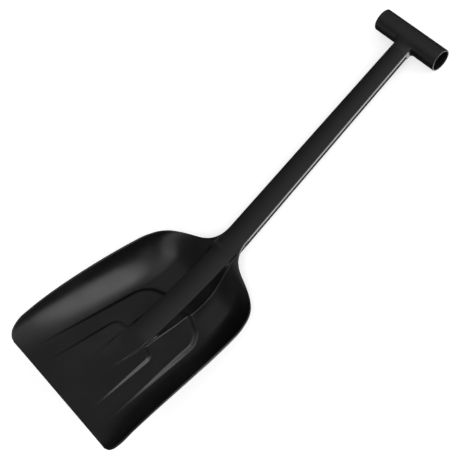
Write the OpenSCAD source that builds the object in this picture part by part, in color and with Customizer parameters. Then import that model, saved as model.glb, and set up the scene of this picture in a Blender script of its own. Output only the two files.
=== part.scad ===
// Compact scoop shovel with a T-shaped grip, lying on its back.
// X runs across the blade, +Y along the shaft towards the grip, +Z up and out of the scoop.
// Z = 0 is the ground under the heel and the grip; X = 0 is the plane of symmetry.

/* [Blade] */
// Width of the blade across its side walls
blade_w = 222; // [205:1:245]
// Thickness of the moulded blade
blade_t = 2.8; // [2.2:0.1:3.4]
// Slope of the blade's floor against the shaft, as rise over run
floor_slope = 0.66; // [0.6:0.01:0.7]
// Height of the outer raised tongue at its rear end
outer_step = 4.6; // [2:0.1:5]
// Height of the inner raised tongue at its rear end
inner_step = 3.6; // [2:0.1:4]

/* [Nose] */
// Width of the raised nose that carries the shaft down the blade
nose_w = 34; // [32:0.5:38]
// Draft of the nose's side walls
nose_draft = 2; // [1.5:0.5:4]

/* [Shaft] */
// Distance from the neck datum to the grip's axis
shaft_len = 322.5; // [300:0.5:360]
// Width of the shaft at the neck datum
shaft_w_neck = 32; // [31.6:0.2:35]
// Width of the shaft at the grip
shaft_w_grip = 23.8; // [23.6:0.2:27]
// Depth of the shaft from its front face to its back
shaft_d = 21; // [20.5:0.5:22]
// Depth of the front shell's side walls
front_d = 6.5; // [5:0.5:7]
// Wall of the two shaft shells
shell_t = 2.5; // [2:0.1:2.6]

/* [Core] */
// Outer radius of the core tube
core_r = 6.5; // [5.5:0.1:6.8]
// Wall of the core tube
core_t = 1.5; // [1:0.1:1.6]

/* [Grip] */
// Outer radius of the grip tube
grip_r = 15.5; // [15:0.5:17]
// Wall of the grip tube
grip_t = 2; // [1.6:0.1:2.4]
// Length of the grip tube
grip_len = 102; // [96:1:120]

/* [Hidden] */

black = [0.06, 0.06, 0.065];
satin_black = [0.1, 0.1, 0.11];
metal = [0.72, 0.73, 0.75];
steel = [0.5, 0.5, 0.52];
bush_grey = [0.3, 0.3, 0.32];

// The shaft frame has its front face at z = 0 and its neck datum at y = 0.
core_z = -shaft_d / 2;
grip_y = shaft_len;
front_y = -313;
ground_z = core_z - grip_r;
mid_y = (grip_y + grip_r + front_y) / 2;

neck_y = -16;
stub_y = grip_y - grip_r - 7;
gap = 0.3;
eps = 0.01;
round_n = 64;

half_w = blade_w / 2;
nose_hw = nose_w / 2;
tip_y = -246;
heel_y = -108;
line_y = -165;
outer_fade_y = -298;
inner_fade_y = -294;

function clamp01(t) = min(1, max(0, t));
function smooth(t) = let (c = clamp01(t)) c * c * (3 - 2 * c);
function ramp(y, y0, y1) = clamp01((y - y0) / (y1 - y0));
function neck_hw(y) = (shaft_w_neck + (shaft_w_grip - shaft_w_neck) * y / grip_y) / 2;

// Cubic curve between two values with a slope at each end.
function hermite(y, y0, z0, m0, y1, z1, m1) =
    let (h = y1 - y0, t = (y - y0) / h)
    z0 * (2 * t ^ 3 - 3 * t ^ 2 + 1) + m0 * h * (t ^ 3 - 2 * t ^ 2 + t)
    + z1 * (3 * t ^ 2 - 2 * t ^ 3) + m1 * h * (t ^ 3 - t ^ 2);

// The floor's height along the blade: level at the neck, a dip at the heel, then a straight rise.
heel_z = -22.5;
line_z = -4;
function floor_z(y) =
    y > -45 ? hermite(y, -45, -1, 0.1, neck_y, 0, 0)
    : y > heel_y ? hermite(y, heel_y, heel_z, 0, -45, -1, 0.1)
    : y > line_y ? hermite(y, line_y, line_z, -floor_slope, heel_y, heel_z, 0)
    : line_z + floor_slope * (line_y - y);

// The rim of one side as four cubic Bezier curves: neck flare, shoulder, side and front corner.
RIM = [
    [neck_hw(neck_y), neck_y, 0], [neck_hw(neck_y), -36, 1], [24, -48, -2],
    [44, -57, -5.5], [0.667 * half_w, -70.5, -10.5], [0.862 * half_w, -82, 1],
    [0.902 * half_w, -115, 18.5], [0.964 * half_w, -163, 46.5], [half_w, -235, 87.5],
    [half_w, -278, 97.5], [half_w, -292, 100], [0.951 * half_w, front_y + 1.5, 97.5],
    [0.871 * half_w, front_y + 1.5, 93.5]
];
RIM_STEPS = [10, 16, 18, 9];
function bezier(a, b, c, d, t) =
    a * (1 - t) ^ 3 + 3 * b * t * (1 - t) ^ 2 + 3 * c * t ^ 2 * (1 - t) + d * t ^ 3;
rim_rows = [
    for (s = [0:3]) for (i = [0:RIM_STEPS[s] - 1])
        bezier(RIM[3 * s], RIM[3 * s + 1], RIM[3 * s + 2], RIM[3 * s + 3], i / RIM_STEPS[s]),
    RIM[12]
];

// Side wall: it leaves the floor part way out, steepens, and stands nearly upright at the rim.
wall_start = 0.55;
wall_power = 1.8;
rim_power = 12;
rim_share = 0.2;
function wall_h(row) = row[2] - floor_z(row[1]);
function top_x(row) = row[0] - 2 * clamp01(wall_h(row) / 30);
function wall_rise(x, row) =
    let (x0 = wall_start * row[0], t = max(0, (x - x0) / (top_x(row) - x0)))
    wall_h(row) * ((1 - rim_share) * t ^ wall_power + rim_share * t ^ rim_power);

// Distance inside a tongue: a straight side and a straight rear end joined by a round corner.
function tongue_in(side, rear, r) =
    (side < r && rear < r) ? r - norm([r - side, r - rear]) : min(side, rear);
function outer_in(x, y) = tongue_in(57 + 0.12 * (-170 - y) - x, -135.5 - 0.37 * x - y, 16);
function inner_in(x, y) = tongue_in(38.5 + 0.1 * (-230 - y) - x, -202 - 0.18 * x - y, 9);
step_run = 4.8;
middle_w = 45;
function middle(x) = 1 - smooth(abs(x) / middle_w);
crown_rise = 0.45;
function outer_tongue(x, y) =
    outer_step * ramp(y, outer_fade_y, -190) * (1 + crown_rise * middle(x) * ramp(y, -225, -195))
        * smooth(outer_in(x, y) / step_run + 0.5);
function inner_h(y) = inner_step * ramp(y, inner_fade_y, -222);
function inner_tongue(x, y) = inner_h(y) * smooth(inner_in(x, y) / step_run + 0.5);

// Shallow dish in the middle of the floor, ahead of the nose.
dish_depth = 4;
function dish(x, y) = dish_depth * ramp(y, -190, -215) * ramp(y, -300, -250) * middle(x);

// Inside of the blade beside the nose.
function bare_z(x, row) = floor_z(row[1]) + wall_rise(x, row) + outer_tongue(x, row[1]) - dish(x, row[1]);
function pan_z(x, row) = bare_z(x, row) + inner_tongue(x, row[1]);

// The nose's flat top, which runs smoothly over the inner tongue's end and sinks into the floor at its tip.
tip_rise = 3;
tip_blend = 1.5;
function nose_z(x, row) =
    let (y = row[1], s = max(0, -50 - y), top = 0.7 * ramp(y, neck_y, -50) + 0.0466 * s + 0.00085 * s ^ 2,
         low = bare_z(x, row) + inner_h(y) * smooth(ramp(y, -196, -222)) + tip_rise * ramp(y, tip_y, -205))
    y > -45 ? top : (top + low + norm([top - low, tip_blend])) / 2;

// Columns across one side of the blade: nose top, nose foot, then the pan out to the rim.
pan_cols = 15;
tip_taper = 2.2;
function taper(y) = tip_taper * smooth(ramp(y, -212, tip_y));
function edge_x(row) = min(nose_hw - taper(row[1]), 0.80 * row[0]);
function foot_x(row) = min(nose_hw + nose_draft - taper(row[1]), 0.87 * row[0]);
function side_points(row) =
    let (f = foot_x(row), xr = top_x(row))
    [for (x = [0, edge_x(row)]) [x, row[1], nose_z(x, row)],
     for (i = [0:pan_cols]) let (x = f + (xr - f) * i / pan_cols) [x, row[1], pan_z(x, row)]];

// Downward unit normal of the pan times the blade's thickness.
function below(p, row) =
    let (d = 0.5,
         zx = (pan_z(p[0] + d, row) - pan_z(p[0] - d, row)) / (2 * d),
         zy = (floor_z(p[1] + d) - floor_z(p[1] - d)) / (2 * d))
    blade_t * [zx, zy, -1] / norm([zx, zy, 1]);

// Near the neck the underside comes down at its edges, to the foot of the front shell's side walls.
function skirt(y) = (front_d - blade_t) * smooth(ramp(y, -52, -22));
function side_under(row) =
    let (top = side_points(row), out = len(top) - 1)
    [top[0] - [0, 0, blade_t],
     top[1] - [blade_t, 0, blade_t],
     top[2] - [blade_t, 0, blade_t],
     for (i = [3:out]) top[i] + below(top[i], row) - [0, 0, skirt(row[1]) * (i - 3) / (out - 3)]];
function flip(p) = [-p[0], p[1], p[2]];
function across(side) = [for (i = [len(side) - 1:-1:1]) flip(side[i]), for (p = side) p];

// Closed solid between an upper and a lower grid of points.
module plate(upper, lower) {
    rows = len(upper);
    cols = len(upper[0]);
    under = rows * cols;
    ring = concat(
        [for (j = [0:cols - 2]) j],
        [for (i = [0:rows - 2]) i * cols + cols - 1],
        [for (j = [cols - 1:-1:1]) (rows - 1) * cols + j],
        [for (i = [rows - 1:-1:1]) i * cols]);
    n = len(ring);
    polyhedron(
        points = concat([for (r = upper) each r], [for (r = lower) each r]),
        faces = concat(
            [for (i = [0:rows - 2]) for (j = [0:cols - 2]) let (a = i * cols + j)
                each [[a, a + 1, a + cols + 1], [a, a + cols + 1, a + cols]]],
            [for (i = [0:rows - 2]) for (j = [0:cols - 2]) let (a = under + i * cols + j)
                each [[a, a + cols + 1, a + 1], [a, a + cols, a + cols + 1]]],
            [for (k = [0:n - 1]) let (a = ring[k], b = ring[(k + 1) % n])
                each [[b, a, a + under], [b, a + under, b + under]]]));
}

// Solid through a list of closed outlines that have the same number of points.
module skin(rings) {
    n = len(rings[0]);
    m = len(rings);
    polyhedron(
        points = [for (r = rings) each r],
        faces = concat(
            [[for (i = [0:n - 1]) i]],
            [for (k = [0:m - 2]) for (i = [0:n - 1]) let (j = (i + 1) % n)
                let (a = k * n, b = a + n)
                each [[a + j, a + i, b + i], [a + j, b + i, b + j]]],
            [[for (i = [n - 1:-1:0]) (m - 1) * n + i]]));
}

// Puts a shape drawn in the shaft frame on the ground, centred along Y.
module place() translate([0, -mid_y, -ground_z]) children();

module along_y(y0, y1, r)
    translate([0, y0, core_z]) rotate([-90, 0, 0]) cylinder(r = r, h = y1 - y0, $fn = round_n);

// Path from the left edge to the right edge of a trough of half width w, round at both corners.
// It opens downwards when z1 is above z0 and upwards when z1 is below z0.
corner_n = 6;
function corner(cx, cz, r, a0, a1) =
    [for (i = [0:corner_n]) let (a = a0 + (a1 - a0) * i / corner_n) [cx + r * cos(a), cz + r * sin(a)]];
function trough(w, z0, z1, r) =
    let (s = z1 > z0 ? 1 : -1)
    concat([[-w, z0]], corner(r - w, z1 - s * r, r, s * 180, s * 90),
           corner(w - r, z1 - s * r, r, s * 90, 0), [[w, z0]]);
function at_y(path, y) = [for (p = path) [p[0], y, p[1]]];

module blade() {
    color(black) place() plate(
        [for (row = rim_rows) across(side_points(row))],
        [for (row = rim_rows) across(side_under(row))]);
}

// Cover that closes the channel under the nose. Its flat pad stands on the ground.
cover_hw = nose_hw - blade_t - gap;
cover_t = 2.5;
cover_rear_y = -80;
cover_front_y = -206;
pad_rear_y = -96;
pad_front_y = -124;
join_y = -150;
function cover_run(y) = floor_z(y) - blade_t - 0.8;
function cover_z(y) =
    y > pad_rear_y ? hermite(y, pad_rear_y, ground_z, 0, cover_rear_y, -shaft_d - 1.5, 0.4)
    : y >= pad_front_y ? ground_z
    : y > join_y ? hermite(y, join_y, cover_run(join_y), cover_run(join_y + 0.5) - cover_run(join_y - 0.5),
                           pad_front_y, ground_z, 0)
    : cover_run(y);
cover_stations = concat(
    [for (i = [0:4]) cover_rear_y + (pad_rear_y - cover_rear_y) * i / 4],
    [for (i = [0:16]) pad_front_y + (cover_front_y - pad_front_y) * i / 16]);
screw_ys = [-100, -114];
screw_x = 9.2;
screw_r = 1.6;
module cover_plate() {
    skin([for (y = cover_stations)
        [for (p = [[-cover_hw, 0], [cover_hw, 0], [cover_hw, cover_t], [-cover_hw, cover_t]])
            [p[0], y, cover_z(y) + p[1]]]]);
}
module at_cover_screws()
    for (x = [-screw_x, screw_x]) for (y = screw_ys) translate([x, y, ground_z]) children();
head_r = 3.2;
head_h = 1.9;
module heel_cover() {
    color(satin_black) place() difference() {
        cover_plate();
        at_cover_screws() {
            translate([0, 0, -eps]) cylinder(r = head_r + 0.1, h = head_h + eps, $fn = round_n);
            cylinder(r = screw_r + 0.15, h = cover_t + 1, $fn = round_n);
        }
    }
}

// Pan-head screws sunk in the cover: head, cross slot and shank.
module sunk_screw(shank) difference() {
    union() {
        translate([0, 0, 0.5]) cylinder(r = head_r, h = head_h - 0.5, $fn = round_n);
        translate([0, 0, head_h - eps]) cylinder(r = screw_r, h = shank, $fn = round_n);
    }
    for (a = [0, 90]) rotate(a) translate([-2, -0.4, 0]) cube([4, 0.8, 1.3]);
}
module cover_screws() {
    color(steel) place() at_cover_screws() sunk_screw(12);
}

// Block inside the nose that holds the lower end of the core tube.
block_rear_y = -62;
block_front_y = -120;
block_hw = nose_hw - blade_t - gap - 0.2;
block_top = -blade_t - gap;
block_bottom = -shaft_d + shell_t + gap;
foot_len = 25;
pin_y = -80;
pin_r = 2;
module socket_block() {
    color(bush_grey) place() difference() {
        union() {
            translate([-block_hw, block_front_y, block_bottom])
                cube([2 * block_hw, block_rear_y - block_front_y, block_top - block_bottom]);
            translate([-block_hw, block_front_y, ground_z + cover_t + gap])
                cube([2 * block_hw, foot_len, block_bottom + eps - ground_z - cover_t - gap]);
        }
        along_y(block_front_y + 6, block_rear_y + 1, core_r + 0.05);
        translate([-block_hw - 1, pin_y, core_z]) rotate([0, 90, 0])
            cylinder(r = pin_r + 0.05, h = 2 * block_hw + 2, $fn = round_n);
        at_cover_screws() cylinder(r = screw_r + 0.02, h = 14.5, $fn = round_n);
    }
}

module core_tube() {
    color(metal) place() difference() {
        along_y(block_front_y + 6.2, stub_y - 1, core_r);
        along_y(block_front_y + 5, stub_y, core_r - core_t);
        translate([-core_r - 1, pin_y, core_z]) rotate([0, 90, 0])
            cylinder(r = pin_r + 0.05, h = 2 * core_r + 2, $fn = round_n);
    }
}

module core_pin() {
    color(steel) place() translate([-block_hw + 0.5, pin_y, core_z]) rotate([0, 90, 0])
        cylinder(r = pin_r, h = 2 * block_hw - 1, $fn = round_n);
}

// Bushes that centre the core tube in the two shells.
bush_ys = [-20, 90, 200, 276];
bush_len = 12;
module core_bushes() {
    color(bush_grey) place() for (y = bush_ys) {
        hw = neck_hw(y + bush_len) - shell_t - gap - 0.5;
        difference() {
            translate([-hw, y, block_bottom]) cube([2 * hw, bush_len, -shell_t - gap - block_bottom]);
            along_y(y - 1, y + bush_len + 1, core_r + 0.05);
            for (s = [-1, 1]) translate([s * hw, y - 1, block_bottom]) rotate([-90, 0, 0])
                cylinder(r = 6, h = bush_len + 2, $fn = 4);
        }
    }
}

// Front shell of the shaft: the flat face and its rounded edges.
edge_r = 1.2;
inner_r = 0.5;
module shaft_front() {
    ys = [stub_y, neck_y + gap / 2];
    color(black) place() plate(
        [for (y = ys) at_y(trough(neck_hw(y), -front_d, 0, edge_r), y)],
        [for (y = ys) at_y(trough(neck_hw(y) - shell_t, -front_d, -shell_t, inner_r), y)]);
}

// Back shell: it runs on under the blade's neck, where its edge follows the blade's underside.
back_r = 10;
back_inset = 0.5;
back_end_y = -79;
function back_hw(y) = neck_hw(max(y, -20)) - back_inset;
function back_edge(y) = min(-front_d - 0.05, floor_z(y) - blade_t - gap);
function back_round(y) = min(back_r, back_edge(y) + shaft_d - 0.2);
back_stations = concat([stub_y, neck_y], [for (i = [0:12]) -48 + (back_end_y + 48) * i / 12]);
module shaft_back() {
    color(black) place() plate(
        [for (y = back_stations) at_y(trough(back_hw(y) - shell_t, back_edge(y), shell_t - shaft_d,
            max(inner_r, back_round(y) - shell_t)), y)],
        [for (y = back_stations) at_y(trough(back_hw(y), back_edge(y), -shaft_d, back_round(y)), y)]);
}

// Outline of the short stub under the grip, which carries on the shaft's outline.
function stub_section(w) = concat(
    corner(w - edge_r, -edge_r, edge_r, 0, 90), corner(edge_r - w, -edge_r, edge_r, 90, 180),
    corner(back_r - w, back_r - shaft_d, back_r, 180, 270),
    corner(w - back_r, back_r - shaft_d, back_r, 270, 360));

module grip_tube() {
    color(black) place() difference() {
        union() {
            translate([-grip_len / 2, grip_y, core_z]) rotate([0, 90, 0])
                cylinder(r = grip_r, h = grip_len, $fn = round_n);
            translate([0, grip_y - 8, 0]) rotate([90, 0, 0])
                linear_extrude(grip_y - 8 - stub_y) polygon(stub_section(neck_hw(stub_y)));
        }
        translate([-grip_len / 2 - 1, grip_y, core_z]) rotate([0, 90, 0])
            cylinder(r = grip_r - grip_t, h = grip_len + 2, $fn = round_n);
        along_y(stub_y - 1, grip_y - grip_r + 0.5, stem_r + 0.05);
        at_grip_screw() {
            translate([0, 0, -1]) cylinder(r = head_r + 0.1, h = head_h + 1, $fn = round_n);
            cylinder(r = screw_r + 0.15, h = 4, $fn = round_n);
        }
    }
}

// Plug in the end of the core tube, with a collar that fills the stub's bore.
stem_r = 7.6;
grip_shank = 6;
module at_grip_screw() translate([0, (stub_y + grip_y - grip_r) / 2, -shaft_d]) children();
module grip_stem() {
    color(metal) place() difference() {
        union() {
            along_y(stub_y - 45, stub_y, core_r - core_t - 0.05);
            along_y(stub_y - 0.5, grip_y - grip_r + 0.3, stem_r);
        }
        at_grip_screw() cylinder(r = screw_r + 0.02, h = head_h + grip_shank + 0.5, $fn = round_n);
    }
}

module grip_screw() {
    color(steel) place() at_grip_screw() sunk_screw(grip_shank);
}

blade();
heel_cover();
cover_screws();
socket_block();
core_tube();
core_pin();
core_bushes();
shaft_front();
shaft_back();
grip_tube();
grip_stem();
grip_screw();
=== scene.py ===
"""Compact black scoop shovel with a T-shaped grip, on a pale studio floor."""
import math

import bmesh
import bpy
import numpy as np
from mathutils import Matrix, Vector


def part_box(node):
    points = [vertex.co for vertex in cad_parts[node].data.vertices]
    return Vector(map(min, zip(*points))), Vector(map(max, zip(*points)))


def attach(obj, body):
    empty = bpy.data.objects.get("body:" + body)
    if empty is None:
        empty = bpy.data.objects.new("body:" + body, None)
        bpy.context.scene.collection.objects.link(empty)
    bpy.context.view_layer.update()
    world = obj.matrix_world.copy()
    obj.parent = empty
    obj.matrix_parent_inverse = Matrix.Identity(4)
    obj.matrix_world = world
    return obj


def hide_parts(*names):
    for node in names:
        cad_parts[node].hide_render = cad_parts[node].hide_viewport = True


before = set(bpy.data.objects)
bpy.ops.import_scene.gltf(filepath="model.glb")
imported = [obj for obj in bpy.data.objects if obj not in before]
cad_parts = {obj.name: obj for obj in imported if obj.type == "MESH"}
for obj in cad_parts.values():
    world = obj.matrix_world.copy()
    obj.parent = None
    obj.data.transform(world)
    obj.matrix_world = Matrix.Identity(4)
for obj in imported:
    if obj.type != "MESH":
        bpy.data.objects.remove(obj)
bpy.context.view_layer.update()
MM = 0.001

# ---------------------------------------------------------------- places from the frame, in millimetres
# The shaft frame has its front face at z = 0 and its neck datum at y = 0, as in the CAD source.
GRIP_LO, GRIP_HI = (np.array(corner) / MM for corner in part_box("grip_tube"))
SHAFT_LO, SHAFT_HI = (np.array(corner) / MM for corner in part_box("shaft_front"))
BLADE_LO, BLADE_HI = (np.array(corner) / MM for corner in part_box("blade"))
COVER_LO, COVER_HI = (np.array(corner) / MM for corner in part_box("heel_cover"))
GRIP_R = GRIP_HI[2] / 2
GRIP_HALF = GRIP_HI[0]
SEAM = 0.15
NECK_Y = -16.0
ORIGIN = np.array([0.0, SHAFT_LO[1] - SEAM - NECK_Y, SHAFT_HI[2]])
GRIP_Y = GRIP_HI[1] - GRIP_R - ORIGIN[1]
CORE_Z = GRIP_R - ORIGIN[2]
STUB_Y = GRIP_LO[1] - ORIGIN[1]
FRONT_Y = BLADE_LO[1] - ORIGIN[1]
HALF_W = BLADE_HI[0]
GROUND_Z = -ORIGIN[2]
COVER_HALF_W = COVER_HI[0]
COVER_REAR_Y = COVER_HI[1] - ORIGIN[1]
COVER_FRONT_Y = COVER_LO[1] - ORIGIN[1]

# ---------------------------------------------------------------- dimensions, in millimetres
# Blade: wall, floor line, heel.
BLADE_T = 2.8
FLOOR_SLOPE = 0.66
LINE_Y, LINE_Z = -165.0, -4.0
HEEL_Y, HEEL_Z = -108.0, -22.5
# The two raised tongues: height, flank, rear end, and where each is full and where it has faded out.
OUTER_STEP, INNER_STEP, STEP_ROUND = 4.6, 3.6, 0.25
OUTER_RUN, INNER_RUN, FADED_RUN = 7.3, 5.3, 0.3
OUTER_REAR_Y, OUTER_SWEEP, OUTER_CORNER_R = -135.5, 0.37, 15
INNER_REAR_Y, INNER_SWEEP, INNER_CORNER_R = -202, 0.18, 7.5
OUTER_FULL_Y, OUTER_END_Y = -190, -298
INNER_FULL_Y, INNER_END_Y = -222, -294
# Middle of the floor: extra height of the outer tongue, and a shallow dish ahead of the nose.
MIDDLE_W, CROWN_RISE, DISH_DEPTH = 45.0, 0.45, 4.0
CROWN_FULL_Y, CROWN_END_Y = -195, -225
DISH_START_Y, DISH_FULL_Y, DISH_LAST_Y, DISH_END_Y = -190, -215, -250, -300
# Side wall and round rim.
WALL_START, WALL_POWER, RIM_POWER, RIM_SHARE = 0.55, 1.8, 12, 0.2
LIP_DROP, LIP_INSET, LIP_POINTS = 1.35, 1.1, 13
# Nose.
NOSE_HALF_W, NOSE_DRAFT, TIP_Y, TIP_TAPER, TAPER_Y = 17.0, 2.0, -246.0, 2.2, -212
NOSE_RISE, NOSE_SLOPE, NOSE_CURVE = 0.7, 0.0466, 0.00085
OVERRUN_Y, TIP_RISE, TIP_RISE_Y, TIP_BLEND = -196, 3.0, -205, 1.5
CREST_R, FOOT_R, NOSE_CROWN = 1.4, 2.4, 1.0
# Shaft shells, and the neck where the blade's skirt continues them.
SHAFT_D, FRONT_D, SHELL_T, EDGE_R, BACK_R, SHAFT_CROWN = 21.0, 6.5, 2.5, 1.2, 10.0, 1.0
BACK_INSET, BACK_END_Y, GAP = 0.5, -79.0, 0.3
NECK_TOP_Y, NOSE_START_Y = -45, -50
SKIRT_FULL_Y, SKIRT_END_Y = -22, -52
# Grip, heel cover and screws.
GRIP_T, GRIP_FILLET, STEM_R = 2.0, 5.0, 7.65
POCKET_R, POCKET_D = 3.3, 1.9
SCREW_X, SCREW_YS, SCREW_HOLE_R = 9.2, (-100, -114), 1.75
PAD_REAR_Y, PAD_FRONT_Y, JOIN_Y, COVER_T = -96.0, -124.0, -150.0, 2.5


def clamp01(t):
    return np.clip(t, 0.0, 1.0)


def smooth(t):
    c = clamp01(t)
    return c * c * (3 - 2 * c)


def ramp(y, y0, y1):
    return clamp01((y - y0) / (y1 - y0))


def neck_half_w(y):
    """Half the shaft's width, which tapers in a straight line from the neck to the grip."""
    grip_half_w = 11.9
    datum_half_w = 16.0
    return datum_half_w + (grip_half_w - datum_half_w) * y / GRIP_Y


def hermite(y, y0, z0, m0, y1, z1, m1):
    h = y1 - y0
    t = (y - y0) / h
    return (z0 * (2 * t**3 - 3 * t**2 + 1) + m0 * h * (t**3 - 2 * t**2 + t)
            + z1 * (3 * t**2 - 2 * t**3) + m1 * h * (t**3 - t**2))


def floor_z(y):
    """Height of the blade's floor: level at the neck, a dip at the heel, then a straight rise."""
    y = np.asarray(y, float)
    pieces = [
        hermite(y, NECK_TOP_Y, -1, 0.1, NECK_Y, 0, 0),
        hermite(y, HEEL_Y, HEEL_Z, 0, NECK_TOP_Y, -1, 0.1),
        hermite(y, LINE_Y, LINE_Z, -FLOOR_SLOPE, HEEL_Y, HEEL_Z, 0),
    ]
    line = LINE_Z + FLOOR_SLOPE * (LINE_Y - y)
    return np.select([y > NECK_TOP_Y, y > HEEL_Y, y > LINE_Y], pieces, line)


def tongue_in(side, rear, r):
    """Distance inside a tongue: a straight side and rear end joined by a round corner."""
    rounded = r - np.hypot(r - side, r - rear)
    return np.where((side < r) & (rear < r), rounded, np.minimum(side, rear))


def flank(d, run):
    """Rise across a tongue's flank, from 0 to 1: a straight slope with rounded ends."""
    t = clamp01(d / run + 0.5)
    slope = 1 / (1 - STEP_ROUND)
    low_end = slope * t**2 / (2 * STEP_ROUND)
    top_end = 1 - slope * (1 - t)**2 / (2 * STEP_ROUND)
    return np.select([t < STEP_ROUND, t > 1 - STEP_ROUND], [low_end, top_end], slope * (t - STEP_ROUND / 2))


def outer_side(y):
    """Half the outer tongue's width, which grows towards the front edge."""
    return 57 + 0.12 * (-170 - y)


def inner_side(y):
    """Half the inner tongue's width, which grows towards the front edge."""
    return 38.5 + 0.1 * (-230 - y)


def run_share(fade):
    """A flank is narrower where the step it belongs to fades out."""
    return FADED_RUN + (1 - FADED_RUN) * fade


def outer_tongue(x, y):
    inside = tongue_in(outer_side(y) - x, OUTER_REAR_Y - OUTER_SWEEP * x - y, OUTER_CORNER_R)
    crown = 1 + CROWN_RISE * (1 - smooth(x / MIDDLE_W)) * ramp(y, CROWN_END_Y, CROWN_FULL_Y)
    fade = ramp(y, OUTER_END_Y, OUTER_FULL_Y)
    return OUTER_STEP * fade * crown * flank(inside, OUTER_RUN * run_share(fade))


def inner_tongue(x, y):
    inside = tongue_in(inner_side(y) - x, INNER_REAR_Y - INNER_SWEEP * x - y, INNER_CORNER_R)
    fade = ramp(y, INNER_END_Y, INNER_FULL_Y)
    return INNER_STEP * fade * flank(inside, INNER_RUN * run_share(fade))


def wall_top(y, rim_x, rim_z):
    """Where the wall's inner face ends below the round rim, and how high it stands above the floor."""
    lift = clamp01((rim_z - floor_z(y)) / 30)
    return rim_x - (2 + LIP_INSET) * lift, rim_z - floor_z(y) - LIP_DROP * lift


def bare_z(x, y, rim_x, rim_z):
    """Inside of the blade without the inner tongue: floor, side wall, outer tongue and a shallow dish."""
    start = WALL_START * rim_x
    top_x, height = wall_top(y, rim_x, rim_z)
    t = np.maximum((x - start) / (top_x - start), 0)
    wall = height * ((1 - RIM_SHARE) * t**WALL_POWER + RIM_SHARE * t**RIM_POWER)
    dish = DISH_DEPTH * ramp(y, DISH_START_Y, DISH_FULL_Y) * ramp(y, DISH_END_Y, DISH_LAST_Y)
    return floor_z(y) + wall + outer_tongue(x, y) - dish * (1 - smooth(x / MIDDLE_W))


def pan_z(x, y, rim_x, rim_z):
    return bare_z(x, y, rim_x, rim_z) + inner_tongue(x, y)


def nose_z(x, y, rim_x, rim_z):
    """The nose's flat top, which runs over the inner tongue's end and sinks into the floor at its tip."""
    s = max(0.0, NOSE_START_Y - y)
    top = NOSE_RISE * ramp(y, NECK_Y, NOSE_START_Y) + NOSE_SLOPE * s + NOSE_CURVE * s**2
    if y > NECK_TOP_Y:
        return np.full(len(x), top)
    inner = INNER_STEP * ramp(y, INNER_END_Y, INNER_FULL_Y) * smooth(ramp(y, OVERRUN_Y, INNER_FULL_Y))
    low = bare_z(x, y, rim_x, rim_z) + inner + TIP_RISE * ramp(y, TIP_Y, TIP_RISE_Y)
    return (top + low + np.hypot(top - low, TIP_BLEND)) / 2


def rim_curve(steps):
    """The rim of one side as four cubic Bezier curves: neck flare, shoulder, side and front corner."""
    neck = neck_half_w(NECK_Y)
    w = HALF_W
    knots = np.array([
        [neck, NECK_Y, 0], [neck, -36, 1], [24, -48, -2],
        [44, -57, -5.5], [0.667 * w, -70.5, -10.5], [0.862 * w, -82, 1],
        [0.902 * w, -115, 18.5], [0.964 * w, -163, 46.5], [w, -235, 87.5],
        [w, -278, 97.5], [w, -292, 100], [0.951 * w, FRONT_Y + 1.5, 97.5],
        [0.871 * w, FRONT_Y + 1.5, 93.5]], float)
    rows = []
    for s, n in enumerate(steps):
        a, b, c, d = knots[3 * s:3 * s + 4]
        t = (np.arange(n) / n)[:, None]
        rows.append(a * (1 - t)**3 + 3 * b * t * (1 - t)**2 + 3 * c * t**2 * (1 - t) + d * t**3)
    return np.vstack(rows + [knots[-1:]])


# ---------------------------------------------------------------- mesh helpers
def to_row(points):
    """Millimetres in the shaft frame to metres in the row frame."""
    return (np.asarray(points, float) + ORIGIN) * MM


def join_close_points(mesh):
    """Joins points that lie in the same place, so that no face is left without area."""
    same_place = 0.0002 * MM
    work = bmesh.new()
    work.from_mesh(mesh)
    bmesh.ops.remove_doubles(work, verts=work.verts, dist=same_place)
    work.to_mesh(mesh)
    work.free()


def make_piece(name, verts, faces, node, material, sharp_deg=40.0):
    mesh = bpy.data.meshes.new(name)
    mesh.from_pydata([tuple(v) for v in verts], [], [tuple(int(i) for i in f) for f in faces])
    mesh.validate()
    join_close_points(mesh)
    mesh.update()
    mesh.shade_smooth()
    mesh.set_sharp_from_angle(angle=math.radians(sharp_deg))
    piece = bpy.data.objects.new(name, mesh)
    bpy.context.scene.collection.objects.link(piece)
    mesh.materials.append(material)
    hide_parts(node)
    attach(piece, "root")
    return piece


def ring_faces(count, rings):
    """Quads between successive closed rings of `count` points, with flat caps."""
    faces = []
    for k in range(rings - 1):
        for i in range(count):
            j = (i + 1) % count
            faces.append((k * count + j, k * count + i, (k + 1) * count + i, (k + 1) * count + j))
    faces.append(tuple(range(count)))
    faces.append(tuple((rings - 1) * count + i for i in range(count - 1, -1, -1)))
    return faces


def arc(cx, cz, rx, rz, a0, a1, n):
    a = np.radians(np.linspace(a0, a1, n))
    return np.stack([cx + rx * np.cos(a), cz + rz * np.sin(a)], axis=1)


# ---------------------------------------------------------------- materials
def new_material(name):
    mat = bpy.data.materials.new(name)
    mat.use_nodes = True
    nodes = mat.node_tree.nodes
    nodes.clear()
    out = nodes.new("ShaderNodeOutputMaterial")
    bsdf = nodes.new("ShaderNodeBsdfPrincipled")
    mat.node_tree.links.new(bsdf.outputs["BSDF"], out.inputs["Surface"])
    return mat, nodes, mat.node_tree.links, bsdf


def noise(nodes, links, coord, scale, detail=3.0, roughness=0.5):
    n = nodes.new("ShaderNodeTexNoise")
    n.inputs["Scale"].default_value = scale
    n.inputs["Detail"].default_value = detail
    n.inputs["Roughness"].default_value = roughness
    links.new(coord, n.inputs["Vector"])
    return n.outputs["Fac"]


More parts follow.
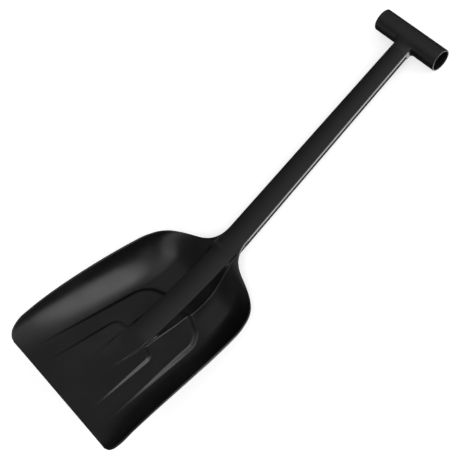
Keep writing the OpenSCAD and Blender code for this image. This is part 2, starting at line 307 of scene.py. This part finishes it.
def map_range(nodes, links, value, a, b, c, d):
    m = nodes.new("ShaderNodeMapRange")
    m.inputs["From Min"].default_value = a
    m.inputs["From Max"].default_value = b
    m.inputs["To Min"].default_value = c
    m.inputs["To Max"].default_value = d
    links.new(value, m.inputs["Value"])
    return m.outputs["Result"]


def stretched(nodes, links, coord, scale):
    m = nodes.new("ShaderNodeMapping")
    m.inputs["Scale"].default_value = scale
    links.new(coord, m.inputs["Vector"])
    return m.outputs["Vector"]


def moulded_plastic(name, dark, light, rough, grain_scale=2600.0, grain=0.3, scuffs=0.0, sheen=0.5):
    """Moulded black plastic: fine spark-eroded grain, cloudy colour, and faint drag marks."""
    mat, nodes, links, bsdf = new_material(name)
    coord = nodes.new("ShaderNodeTexCoord").outputs["Object"]
    cloud_scale = 38.0
    drag_stretch = (900.0, 35.0, 60.0)
    bump_depth = 0.00005
    cloud = noise(nodes, links, coord, cloud_scale, 4.0, 0.55)
    fine = noise(nodes, links, coord, grain_scale, 2.0, 0.5)
    drag = noise(nodes, links, stretched(nodes, links, coord, drag_stretch), 1.0, 4.0, 0.6)
    colour = nodes.new("ShaderNodeValToRGB")
    colour.color_ramp.elements[0].position = 0.3
    colour.color_ramp.elements[0].color = (*dark, 1)
    colour.color_ramp.elements[1].position = 0.72
    colour.color_ramp.elements[1].color = (*light, 1)
    links.new(cloud, colour.inputs["Fac"])
    marks = map_range(nodes, links, drag, 0.62, 0.78, 0.0, scuffs)
    mixed = nodes.new("ShaderNodeMix")
    mixed.data_type = "RGBA"
    mixed.inputs["B"].default_value = (0.05, 0.05, 0.05, 1)
    links.new(marks, mixed.inputs["Factor"])
    links.new(colour.outputs["Color"], mixed.inputs["A"])
    links.new(mixed.outputs["Result"], bsdf.inputs["Base Color"])
    base_rough = map_range(nodes, links, cloud, 0.25, 0.75, rough - 0.04, rough + 0.05)
    more = nodes.new("ShaderNodeMath")
    more.operation = "MULTIPLY_ADD"
    more.inputs[1].default_value = 0.08
    links.new(fine, more.inputs[0])
    links.new(base_rough, more.inputs[2])
    links.new(more.outputs["Value"], bsdf.inputs["Roughness"])
    bump = nodes.new("ShaderNodeBump")
    bump.inputs["Strength"].default_value = grain
    bump.inputs["Distance"].default_value = bump_depth
    links.new(fine, bump.inputs["Height"])
    links.new(bump.outputs["Normal"], bsdf.inputs["Normal"])
    bsdf.inputs["IOR"].default_value = 1.49
    bsdf.inputs["Specular IOR Level"].default_value = sheen
    return mat


def metal(name, dark, light, rough, streak):
    """Drawn or turned metal: fine streaks along `streak` and a little colour variation."""
    mat, nodes, links, bsdf = new_material(name)
    coord = nodes.new("ShaderNodeTexCoord").outputs["Object"]
    lines = noise(nodes, links, stretched(nodes, links, coord, streak), 1.0, 3.0, 0.6)
    colour = nodes.new("ShaderNodeValToRGB")
    colour.color_ramp.elements[0].color = (*dark, 1)
    colour.color_ramp.elements[1].color = (*light, 1)
    links.new(lines, colour.inputs["Fac"])
    links.new(colour.outputs["Color"], bsdf.inputs["Base Color"])
    links.new(map_range(nodes, links, lines, 0.3, 0.7, rough - 0.07, rough + 0.1), bsdf.inputs["Roughness"])
    bump = nodes.new("ShaderNodeBump")
    bump.inputs["Strength"].default_value = 0.2
    streak_depth = 0.00003
    bump.inputs["Distance"].default_value = streak_depth
    links.new(lines, bump.inputs["Height"])
    links.new(bump.outputs["Normal"], bsdf.inputs["Normal"])
    bsdf.inputs["Metallic"].default_value = 1.0
    return mat


JET = (0.004, 0.004, 0.0042)
BLACK = (0.006, 0.006, 0.0062)
BLADE_PLASTIC = moulded_plastic("blade_plastic", JET, BLACK, 0.27, scuffs=0.15)
SHAFT_PLASTIC = moulded_plastic("shaft_plastic", JET, BLACK, 0.28)
BACK_PLASTIC = moulded_plastic("back_plastic", BLACK, (0.009, 0.009, 0.0092), 0.7, grain=0.6, sheen=0.1)
GRIP_PLASTIC = moulded_plastic("grip_plastic", JET, BLACK, 0.34, grain=0.4, sheen=0.6)
COVER_PLASTIC = moulded_plastic("cover_plastic", (0.014, 0.014, 0.015), (0.02, 0.02, 0.021), 0.5, 1800.0, 0.6)
INNER_PLASTIC = moulded_plastic("inner_plastic", (0.05, 0.05, 0.053), (0.08, 0.08, 0.084), 0.55, 1500.0, 0.5)
CORE_ALLOY = metal("core_alloy", (0.62, 0.63, 0.65), (0.78, 0.79, 0.8), 0.32, (1500.0, 12.0, 1500.0))
SCREW_STEEL = metal("screw_steel", (0.16, 0.16, 0.165), (0.34, 0.34, 0.345), 0.4, (900.0, 900.0, 200.0))


# ---------------------------------------------------------------- blade
def pan_columns(y, start, end, counts):
    """Columns from the nose's foot to the rim, dense and in line with the two tongues' side flanks."""
    span = end - start
    dense = min(4.0, 0.08 * span)
    inner = np.clip(inner_side(y), start + 1.5 * dense, start + 0.3 * span)
    outer = np.clip(outer_side(y), inner + 2.5 * dense, start + 0.6 * span)
    stops = [start, inner - dense, inner + dense, outer - dense, outer + dense, end]
    return np.concatenate([np.linspace(a, b, n + 1)[1:] for a, b, n in zip(stops, stops[1:], counts)])


def half_profile(y, rim_x, rim_z, counts, skirt):
    """Upper surface of one side at one station: nose top, round crest, flank, round foot, pan to the rim."""
    taper = TIP_TAPER * smooth(ramp(y, TAPER_Y, TIP_Y))
    edge = min(NOSE_HALF_W - taper, 0.80 * rim_x)
    foot = min(NOSE_HALF_W + NOSE_DRAFT - taper, 0.87 * rim_x)
    top_x = wall_top(y, rim_x, rim_z)[0]
    outer = min(top_x, rim_x - LIP_INSET) - (EDGE_R - LIP_INSET) * skirt
    foot = min(foot, outer - 0.5)
    edge = min(edge, foot - 0.5)
    foot_out = min(foot + FOOT_R, foot + 0.4 * (outer - foot))

    low_out = float(pan_z(foot_out, y, rim_x, rim_z))
    near_z = float(nose_z(np.array([edge - CREST_R]), y, rim_x, rim_z)[0])
    height = max(near_z - low_out, 0.0)
    rise = min(CREST_R, 0.4 * height)
    drop = min(FOOT_R, 0.4 * height)
    crest_w = min(CREST_R, rise + 0.2)
    foot = min(foot, edge + 0.3 + height)
    foot_out = min(foot_out, foot + drop + 0.3)
    crown = NOSE_CROWN * (1 - skirt) * (1 - ramp(y, OUTER_FULL_Y, TIP_Y))
    flat_x = np.linspace(0, edge - crest_w, 7)
    flat_z = nose_z(flat_x, y, rim_x, rim_z) - crown * (flat_x / NOSE_HALF_W)**2
    low_out = float(pan_z(foot_out, y, rim_x, rim_z))
    crest = arc(edge - crest_w, flat_z[-1] - rise, crest_w, rise, 90, 0, 8)
    hollow = arc(foot_out, low_out + drop, foot_out - foot, drop, 180, 270, 8)
    down = np.linspace(0, 1, 6)[1:-1, None]
    side = crest[-1] * (1 - down) + hollow[0] * down
    xs = pan_columns(y, foot_out, outer, counts)
    pan = np.stack([xs, pan_z(xs, y, rim_x, rim_z)], axis=1)
    profile = np.vstack([np.stack([flat_x, flat_z], axis=1)[:-1], crest, side, hollow, pan])
    profile[:, 1] = np.maximum(profile[:, 1], pan_z(profile[:, 0], y, rim_x, rim_z))
    profile[:, 1] -= SHAFT_CROWN * skirt * (profile[:, 0] / rim_x)**2
    return profile


def offset_below(profile, dzdy):
    """The same profile moved down by the wall, along the surface's normal, without folding over itself."""
    d = np.gradient(profile, axis=0)
    length = np.hypot(d[:, 0], d[:, 1]) + 1e-9
    nx, nz = d[:, 1] / length, -d[:, 0] / length
    moved = profile + BLADE_T * np.stack([nx, nz * math.hypot(1, dzdy)], axis=1)
    least_gap = 0.0005
    spread = least_gap * np.minimum(np.arange(len(profile)), 26)
    moved[:, 0] = np.maximum.accumulate(np.maximum(moved[:, 0], 0)) + spread
    return moved


def lip_path(a, b, rim_x, skirt):
    """Edge of the blade between its two surfaces: a round rim, or a skirt where the neck joins the shaft."""
    mid, half = (a + b) / 2, (b - a) / 2
    out = np.array([-half[1], half[0]])
    turn = np.radians(np.linspace(0, 180, LIP_POINTS + 2)[1:-1])[:, None]
    round_rim = mid - half * np.cos(turn) + out * np.sin(turn)
    corner_n = LIP_POINTS - 5
    corner = arc(rim_x - EDGE_R, a[1] - EDGE_R, EDGE_R, EDGE_R, 90, 0, corner_n + 1)[1:]
    skirt_in = rim_x - SHELL_T
    down = np.array([[rim_x, -FRONT_D + 0.3], [rim_x - 0.3, -FRONT_D], [skirt_in + 0.3, -FRONT_D],
                     [skirt_in, -FRONT_D + 0.3], [skirt_in, b[1] - 0.3]])
    return (1 - skirt) * round_rim + skirt * np.vstack([corner, down])


def blade_station(y, rim_x, rim_z, counts):
    """Upper profile, lip and lower profile of one side at one station."""
    skirt = float(smooth(ramp(y, SKIRT_END_Y, SKIRT_FULL_Y)))
    upper = half_profile(y, rim_x, rim_z, counts, skirt)
    dzdy = float(floor_z(y + 0.5) - floor_z(y - 0.5))
    lower = offset_below(upper, dzdy)
    return upper, lip_path(upper[-1], lower[-1], rim_x, skirt), lower


def blade_ring(y, upper, lip, lower):
    """Closed outline: from the middle of the top over the right rim to the middle below, then the left."""
    right = np.vstack([upper, lip, lower[::-1]])
    left = right[1:-1][::-1] * [-1, 1]
    outline = np.vstack([right, left])
    return np.column_stack([outline[:, 0], np.full(len(outline), y), outline[:, 1]])


def make_blade():
    """The blade as closed rings from the neck to the front edge, which ends in a round lip."""
    steps = ((20, 36, 120, 36))
    counts = ((6, 18, 8, 18, 22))
    rings = []
    for rim_x, y, rim_z in rim_curve(steps):
        upper, lip, lower = blade_station(y, rim_x, rim_z, counts)
        rings.append(blade_ring(y, upper, lip, lower))
    lip_r = 1.2
    for angle in np.radians([30, 55, 75, 88]):
        keep = math.cos(angle)
        middle = (upper + lower) / 2
        lip_middle = lip.mean(axis=0)
        rings.append(blade_ring(y - lip_r * math.sin(angle), middle + (upper - middle) * keep,
                                lip_middle + (lip - lip_middle) * keep, middle + (lower - middle) * keep))
    count = len(rings[0])
    make_piece("blade_shell", to_row(np.vstack(rings)), ring_faces(count, len(rings)),
               "blade", BLADE_PLASTIC, 60.0)


# ---------------------------------------------------------------- shaft shells
def sweep(name, stations, outline, node, material):
    """Closed shell through the same outline at several stations along Y."""
    rings = []
    for y in stations:
        path = outline(y)
        rings.append(np.column_stack([path[:, 0], np.full(len(path), y), path[:, 1]]))
    count = len(rings[0])
    return make_piece(name, to_row(np.vstack(rings)), ring_faces(count, len(rings)), node, material)


def mirrored(right):
    """An outline drawn from the middle outwards, with its left half added."""
    return np.vstack([right, right[::-1] * [-1, 1]])


def front_outline(y):
    """Front shell: crowned face, round edges, and the inside of its wall."""
    w = neck_half_w(y)
    xs = np.linspace(0.4, w - EDGE_R, 10)
    face = np.stack([xs, -SHAFT_CROWN * (xs / w)**2], axis=1)
    corner = arc(w - EDGE_R, face[-1][1] - EDGE_R, EDGE_R, EDGE_R, 90, 0, 12)[1:]
    rim = np.array([[w, -FRONT_D + 0.25], [w - 0.25, -FRONT_D], [w - SHELL_T, -FRONT_D]])
    inner = arc(w - SHELL_T - 0.5, -SHELL_T - 0.5, 0.5, 0.5, 0, 90, 5)
    middle = np.array([[0.4, -SHELL_T]])
    return mirrored(np.vstack([face, corner, rim, inner, middle]))


def back_half_w(y):
    return neck_half_w(max(y, -20.0)) - BACK_INSET


def back_edge(y):
    return min(-FRONT_D - 0.05, float(floor_z(y)) - BLADE_T - GAP)


def back_outline(y):
    """Back shell: a deep U whose edge follows the blade's underside below the neck."""
    w, edge = back_half_w(y), back_edge(y)
    r = min(BACK_R, edge + SHAFT_D - 0.2)
    r_in = max(0.5, r - SHELL_T)
    outer = arc(w - r, r - SHAFT_D, r, r, -90, 0, 16)
    inner_floor = SHELL_T - SHAFT_D
    inner = arc(w - SHELL_T - r_in, inner_floor + r_in, r_in, r_in, 0, -90, 12)
    lip = np.array([[w, edge - 0.25], [w - 0.25, edge], [w - SHELL_T, edge]])
    start = np.array([[min(0.3, w - r), -SHAFT_D]])
    end = np.array([[min(0.3, w - SHELL_T - r_in), inner_floor]])
    return mirrored(np.vstack([start, outer, lip, inner, end]))[::-1]


def make_shaft():
    """Front shell from the grip's stub to the neck, and the longer back shell that runs on below the neck."""
    sweep("front_shell", np.linspace(STUB_Y, NECK_Y + 0.02, 40), front_outline,
          "shaft_front", SHAFT_PLASTIC)
    below_neck = np.linspace(-20, BACK_END_Y, 40)
    stations = np.concatenate([np.linspace(STUB_Y, NECK_Y, 40), below_neck])
    sweep("back_shell", stations, back_outline, "shaft_back", BACK_PLASTIC)


# ---------------------------------------------------------------- grip, as one blended solid
def round_max(a, b, r):
    """Intersection of two solids with a rounded edge."""
    u, v = a + r, b + r
    return np.minimum(np.maximum(u, v), 0) + np.hypot(np.maximum(u, 0), np.maximum(v, 0)) - r


def blend_min(a, b, k):
    """Union of two solids with a fillet of about k."""
    h = clamp01(0.5 + 0.5 * (b - a) / k)
    return b + (a - b) * h - k * h * (1 - h)


def stub_distance(x, y, z):
    """The shaft's own section, carried on under the grip."""
    w = neck_half_w(y)
    x = np.abs(x)
    z = z + SHAFT_CROWN * np.minimum(x / w, 1)**2
    front = round_max(x - w, z, EDGE_R)
    back_z = BACK_R - SHAFT_D
    back = np.hypot(np.maximum(x - (w - BACK_R), 0), z - back_z) - BACK_R
    return np.where(z < back_z, back, front)


def grip_distance(p):
    x, y, z = p[..., 0], p[..., 1], p[..., 2]
    axis = np.hypot(y - GRIP_Y, z - CORE_Z)
    tube = round_max(axis - GRIP_R, np.abs(x) - GRIP_HALF, 0.9)
    stub = np.maximum(stub_distance(x, y, z), y - GRIP_Y)
    solid = blend_min(tube, stub, GRIP_FILLET)
    bore = axis - (GRIP_R - GRIP_T)
    solid = round_max(solid, -bore, 0.6)
    stem = np.maximum(np.hypot(x, z - CORE_Z) - STEM_R, y - GRIP_Y)
    solid = np.maximum(solid, -stem)
    screw_y = (STUB_Y + GRIP_Y - GRIP_R) / 2
    pocket = np.maximum(np.hypot(x, y - screw_y) - POCKET_R, z + SHAFT_D - POCKET_D)
    solid = np.maximum(solid, -pocket)
    return np.maximum(solid, STUB_Y - y)


def surface_net(distance, low, high, step):
    """Quads on the zero surface of a distance field, with each point moved onto the surface."""
    axes = [np.arange(a, b + step, step) for a, b in zip(low, high)]
    grid = np.stack(np.meshgrid(*axes, indexing="ij"), axis=-1)
    inside = distance(grid) < 0
    corners = sum(inside[i:i - 1 or None, j:j - 1 or None, k:k - 1 or None].astype(int)
                  for i in (0, 1) for j in (0, 1) for k in (0, 1))
    active = (corners > 0) & (corners < 8)
    index = np.full(active.shape, -1)
    index[active] = np.arange(active.sum())
    points = grid[:-1, :-1, :-1][active] + step / 2
    start = points.copy()
    probe = 0.05
    for _ in range(6):
        here = distance(points)
        rises = [distance(points + e) - distance(points - e) for e in probe * np.eye(3)]
        slope = np.stack(rises, axis=-1) / (2 * probe)
        slope_sq = np.maximum((slope**2).sum(axis=-1), 0.2)
        points = points - slope * (here / slope_sq)[:, None]
        points = np.clip(points, start - step, start + step)
    faces = []
    for axis in range(3):
        b, c = (axis + 1) % 3, (axis + 2) % 3
        turned = np.moveaxis(inside, (axis, b, c), (0, 1, 2))
        cells = np.moveaxis(index, (axis, b, c), (0, 1, 2))
        lower, upper = turned[:-1, 1:-1, 1:-1], turned[1:, 1:-1, 1:-1]
        quad = np.stack([cells[:, :-1, :-1], cells[:, 1:, :-1], cells[:, 1:, 1:], cells[:, :-1, 1:]], axis=-1)
        faces.append(quad[lower & ~upper])
        faces.append(quad[~lower & upper][:, ::-1])
    return points, np.vstack(faces)


def make_grip():
    """The T-grip and its stub as one blended shape."""
    step = 0.7
    low = (-GRIP_HALF - 2, STUB_Y - 2.03, GROUND_Z - 2)
    high = (GRIP_HALF + 2, GRIP_Y + GRIP_R + 2, 7)
    points, faces = surface_net(grip_distance, low, high, step)
    make_piece("grip_body", to_row(points), faces, "grip_tube", GRIP_PLASTIC, 50.0)


# ---------------------------------------------------------------- heel cover
def cover_run(y):
    return float(floor_z(y)) - BLADE_T - 0.8


def cover_z(y):
    """Underside of the cover: it leaves the shaft's back, stands on a flat pad and follows the floor."""
    if y > PAD_REAR_Y:
        return float(hermite(y, PAD_REAR_Y, GROUND_Z, 0, COVER_REAR_Y, -SHAFT_D - 1.5, 0.4))
    if y >= PAD_FRONT_Y:
        return GROUND_Z
    if y > JOIN_Y:
        slope = cover_run(JOIN_Y + 0.5) - cover_run(JOIN_Y - 0.5)
        return float(hermite(y, JOIN_Y, cover_run(JOIN_Y), slope, PAD_FRONT_Y, GROUND_Z, 0))
    return cover_run(y)


def cover_outline(y):
    z, r = cover_z(y), 0.7
    w = COVER_HALF_W
    foot = arc(w - r, z + r, r, r, -90, 0, 5)
    top = arc(w - 0.3, z + COVER_T - 0.3, 0.3, 0.3, 0, 90, 3)
    return mirrored(np.vstack([[[w / 3, z]], foot, top, [[w / 3, z + COVER_T]]]))


def cylinder_cutter(x, y, z0, z1, r):
    sides = 48
    around = np.linspace(0, 2 * np.pi, sides, endpoint=False)
    ring = np.stack([x + r * np.cos(around), y + r * np.sin(around)], axis=1)
    points = np.vstack([np.column_stack([ring, np.full(sides, z)]) for z in (z0, z1)])
    faces = [(i, (i + 1) % sides, sides + (i + 1) % sides, sides + i) for i in range(sides)]
    return points, faces + [tuple(range(sides - 1, -1, -1)), tuple(range(sides, 2 * sides))]


def subtract(piece, cutters):
    """Cuts closed shapes out of a piece and keeps the result as its plain mesh."""
    for k, (points, faces) in enumerate(cutters):
        mesh = bpy.data.meshes.new(f"cutter_{k}")
        mesh.from_pydata([tuple(p) for p in to_row(points)], [], faces)
        cutter = bpy.data.objects.new(f"cutter_{k}", mesh)
        bpy.context.scene.collection.objects.link(cutter)
        mod = piece.modifiers.new(f"cut_{k}", "BOOLEAN")
        mod.operation = "DIFFERENCE"
        mod.object = cutter
        bpy.context.view_layer.update()
        result = bpy.data.meshes.new_from_object(piece.evaluated_get(bpy.context.evaluated_depsgraph_get()))
        piece.modifiers.remove(mod)
        piece.data = result
        bpy.data.objects.remove(cutter)
    piece.data.shade_smooth()
    piece.data.set_sharp_from_angle(angle=math.radians(30))


def make_cover():
    """Cover with its flat pad, and four screw holes with head pockets."""
    stations = np.concatenate([np.linspace(COVER_REAR_Y, PAD_REAR_Y, 14)[:-1],
                               np.linspace(PAD_REAR_Y, PAD_FRONT_Y, 4),
                               np.linspace(PAD_FRONT_Y, COVER_FRONT_Y, 48)[1:]])
    cover = sweep("heel_plate", stations, cover_outline, "heel_cover", COVER_PLASTIC)
    spots = [(x, y) for x in (-SCREW_X, SCREW_X) for y in SCREW_YS]
    pockets = [cylinder_cutter(x, y, GROUND_Z - 1, GROUND_Z + POCKET_D, POCKET_R) for x, y in spots]
    holes = [cylinder_cutter(x, y, GROUND_Z - 1, GROUND_Z + 5, SCREW_HOLE_R) for x, y in spots]
    subtract(cover, pockets + holes)


make_blade()
make_shaft()
make_grip()
make_cover()

# ---------------------------------------------------------------- CAD pieces that stay
for node, slot_material in {
    "cover_screws": SCREW_STEEL, "grip_screw": SCREW_STEEL, "core_pin": SCREW_STEEL,
    "core_tube": CORE_ALLOY, "grip_stem": CORE_ALLOY,
    "socket_block": INNER_PLASTIC, "core_bushes": INNER_PLASTIC,
}.items():
    for material_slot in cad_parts[node].material_slots:
        material_slot.material = slot_material


# ---------------------------------------------------------------- floor, light and camera
AMBIENT = 0.04
FLOOR_GLOW = 0.6
FLOOR_R, DOME_R = 14, 14.5
# Each soft panel: (azimuth, elevation) of its middle, the angles from there at which it starts to fade
# and is gone, and its brightness.
PANELS = [
    ((44, 18), 18, 31, 2.65),
    ((72, 22), 8, 22, 1.2),
    ((-54, 50), 14, 34, 0.84),
    ((115, 34), 16, 46, 0.24),
    ((-112, 46), 8, 34, 0.09),
    ((0, 78), 10, 52, 0.72),
    ((2, -58), 14, 26, 4.0),
    ((-116, 9), 9, 21, 0.4),
]


def stage_material(name, shade, glow):
    mat, nodes, links, bsdf = new_material(name)
    bsdf.inputs["Base Color"].default_value = (shade, shade, shade, 1)
    bsdf.inputs["Roughness"].default_value = 0.9
    bsdf.inputs["Specular IOR Level"].default_value = 0.0
    bsdf.inputs["Emission Color"].default_value = (1, 1, 1, 1)
    bsdf.inputs["Emission Strength"].default_value = glow
    return mat


def make_floor():
    """Pale floor and a pale dome behind it, so that every view has a plain background."""
    bpy.ops.mesh.primitive_circle_add(vertices=96, radius=FLOOR_R, fill_type="NGON")
    floor = bpy.context.object
    floor.name = "studio_floor"
    floor.data.materials.append(stage_material("studio_floor", 0.85, FLOOR_GLOW))
    bpy.ops.mesh.primitive_uv_sphere_add(segments=48, ring_count=24, radius=DOME_R)
    dome = bpy.context.object
    dome.name = "studio_dome"
    dome.data.materials.append(stage_material("studio_dome", 0.0, 1.0))
    floor.visible_glossy = False
    floor.visible_shadow = False
    for ray in ("diffuse", "glossy", "transmission", "volume_scatter", "shadow"):
        setattr(dome, f"visible_{ray}", False)


def compass(azimuth, elevation):
    """Direction in the row frame: azimuth from +X towards +Y, elevation above the floor, in degrees."""
    a, e = math.radians(azimuth), math.radians(elevation)
    return Vector((math.cos(a) * math.cos(e), math.sin(a) * math.cos(e), math.sin(e)))


def make_world():
    """Dark studio with large soft panels, drawn as smooth patches of light on the surroundings."""
    world = bpy.data.worlds.new("studio")
    bpy.context.scene.world = world
    world.use_nodes = True
    nodes, links = world.node_tree.nodes, world.node_tree.links
    background = nodes["Background"]
    background.inputs["Color"].default_value = (1, 1, 1, 1)
    direction = nodes.new("ShaderNodeTexCoord").outputs["Generated"]
    total = None
    for towards, full, edge, level in PANELS:
        dot = nodes.new("ShaderNodeVectorMath")
        dot.operation = "DOT_PRODUCT"
        dot.inputs[1].default_value = compass(*towards)
        links.new(direction, dot.inputs[0])
        patch = nodes.new("ShaderNodeMapRange")
        patch.interpolation_type = "SMOOTHSTEP"
        patch.inputs["From Min"].default_value = math.cos(math.radians(edge))
        patch.inputs["From Max"].default_value = math.cos(math.radians(full))
        patch.inputs["To Max"].default_value = level
        links.new(dot.outputs["Value"], patch.inputs["Value"])
        add = nodes.new("ShaderNodeMath")
        add.operation = "ADD"
        add.inputs[0].default_value = AMBIENT
        if total:
            links.new(total, add.inputs[0])
        links.new(patch.outputs["Result"], add.inputs[1])
        total = add.outputs["Value"]
    links.new(total, background.inputs["Strength"])


def make_camera():
    data = bpy.data.cameras.new("camera")
    data.lens = 74.8
    data.shift_x, data.shift_y = 0.0011, -0.0009
    data.sensor_width = 36
    data.clip_start = 0.05
    camera = bpy.data.objects.new("camera", data)
    right = Vector((0.6626, 0.6552, -0.3629)).normalized()
    back = Vector((0.4284, 0.0659, 0.9012))
    back = (back - right * back.dot(right)).normalized()
    up = back.cross(right)
    turn = Matrix((right, up, back)).transposed().to_4x4()
    place = Vector((0.5303, 0.0624, 1.1429)) + Vector(ORIGIN) * MM
    camera.matrix_world = Matrix.Translation(place) @ turn
    bpy.context.scene.collection.objects.link(camera)
    bpy.context.scene.camera = camera


make_floor()
make_world()
make_camera()
bpy.context.scene.view_settings.view_transform = "Standard"
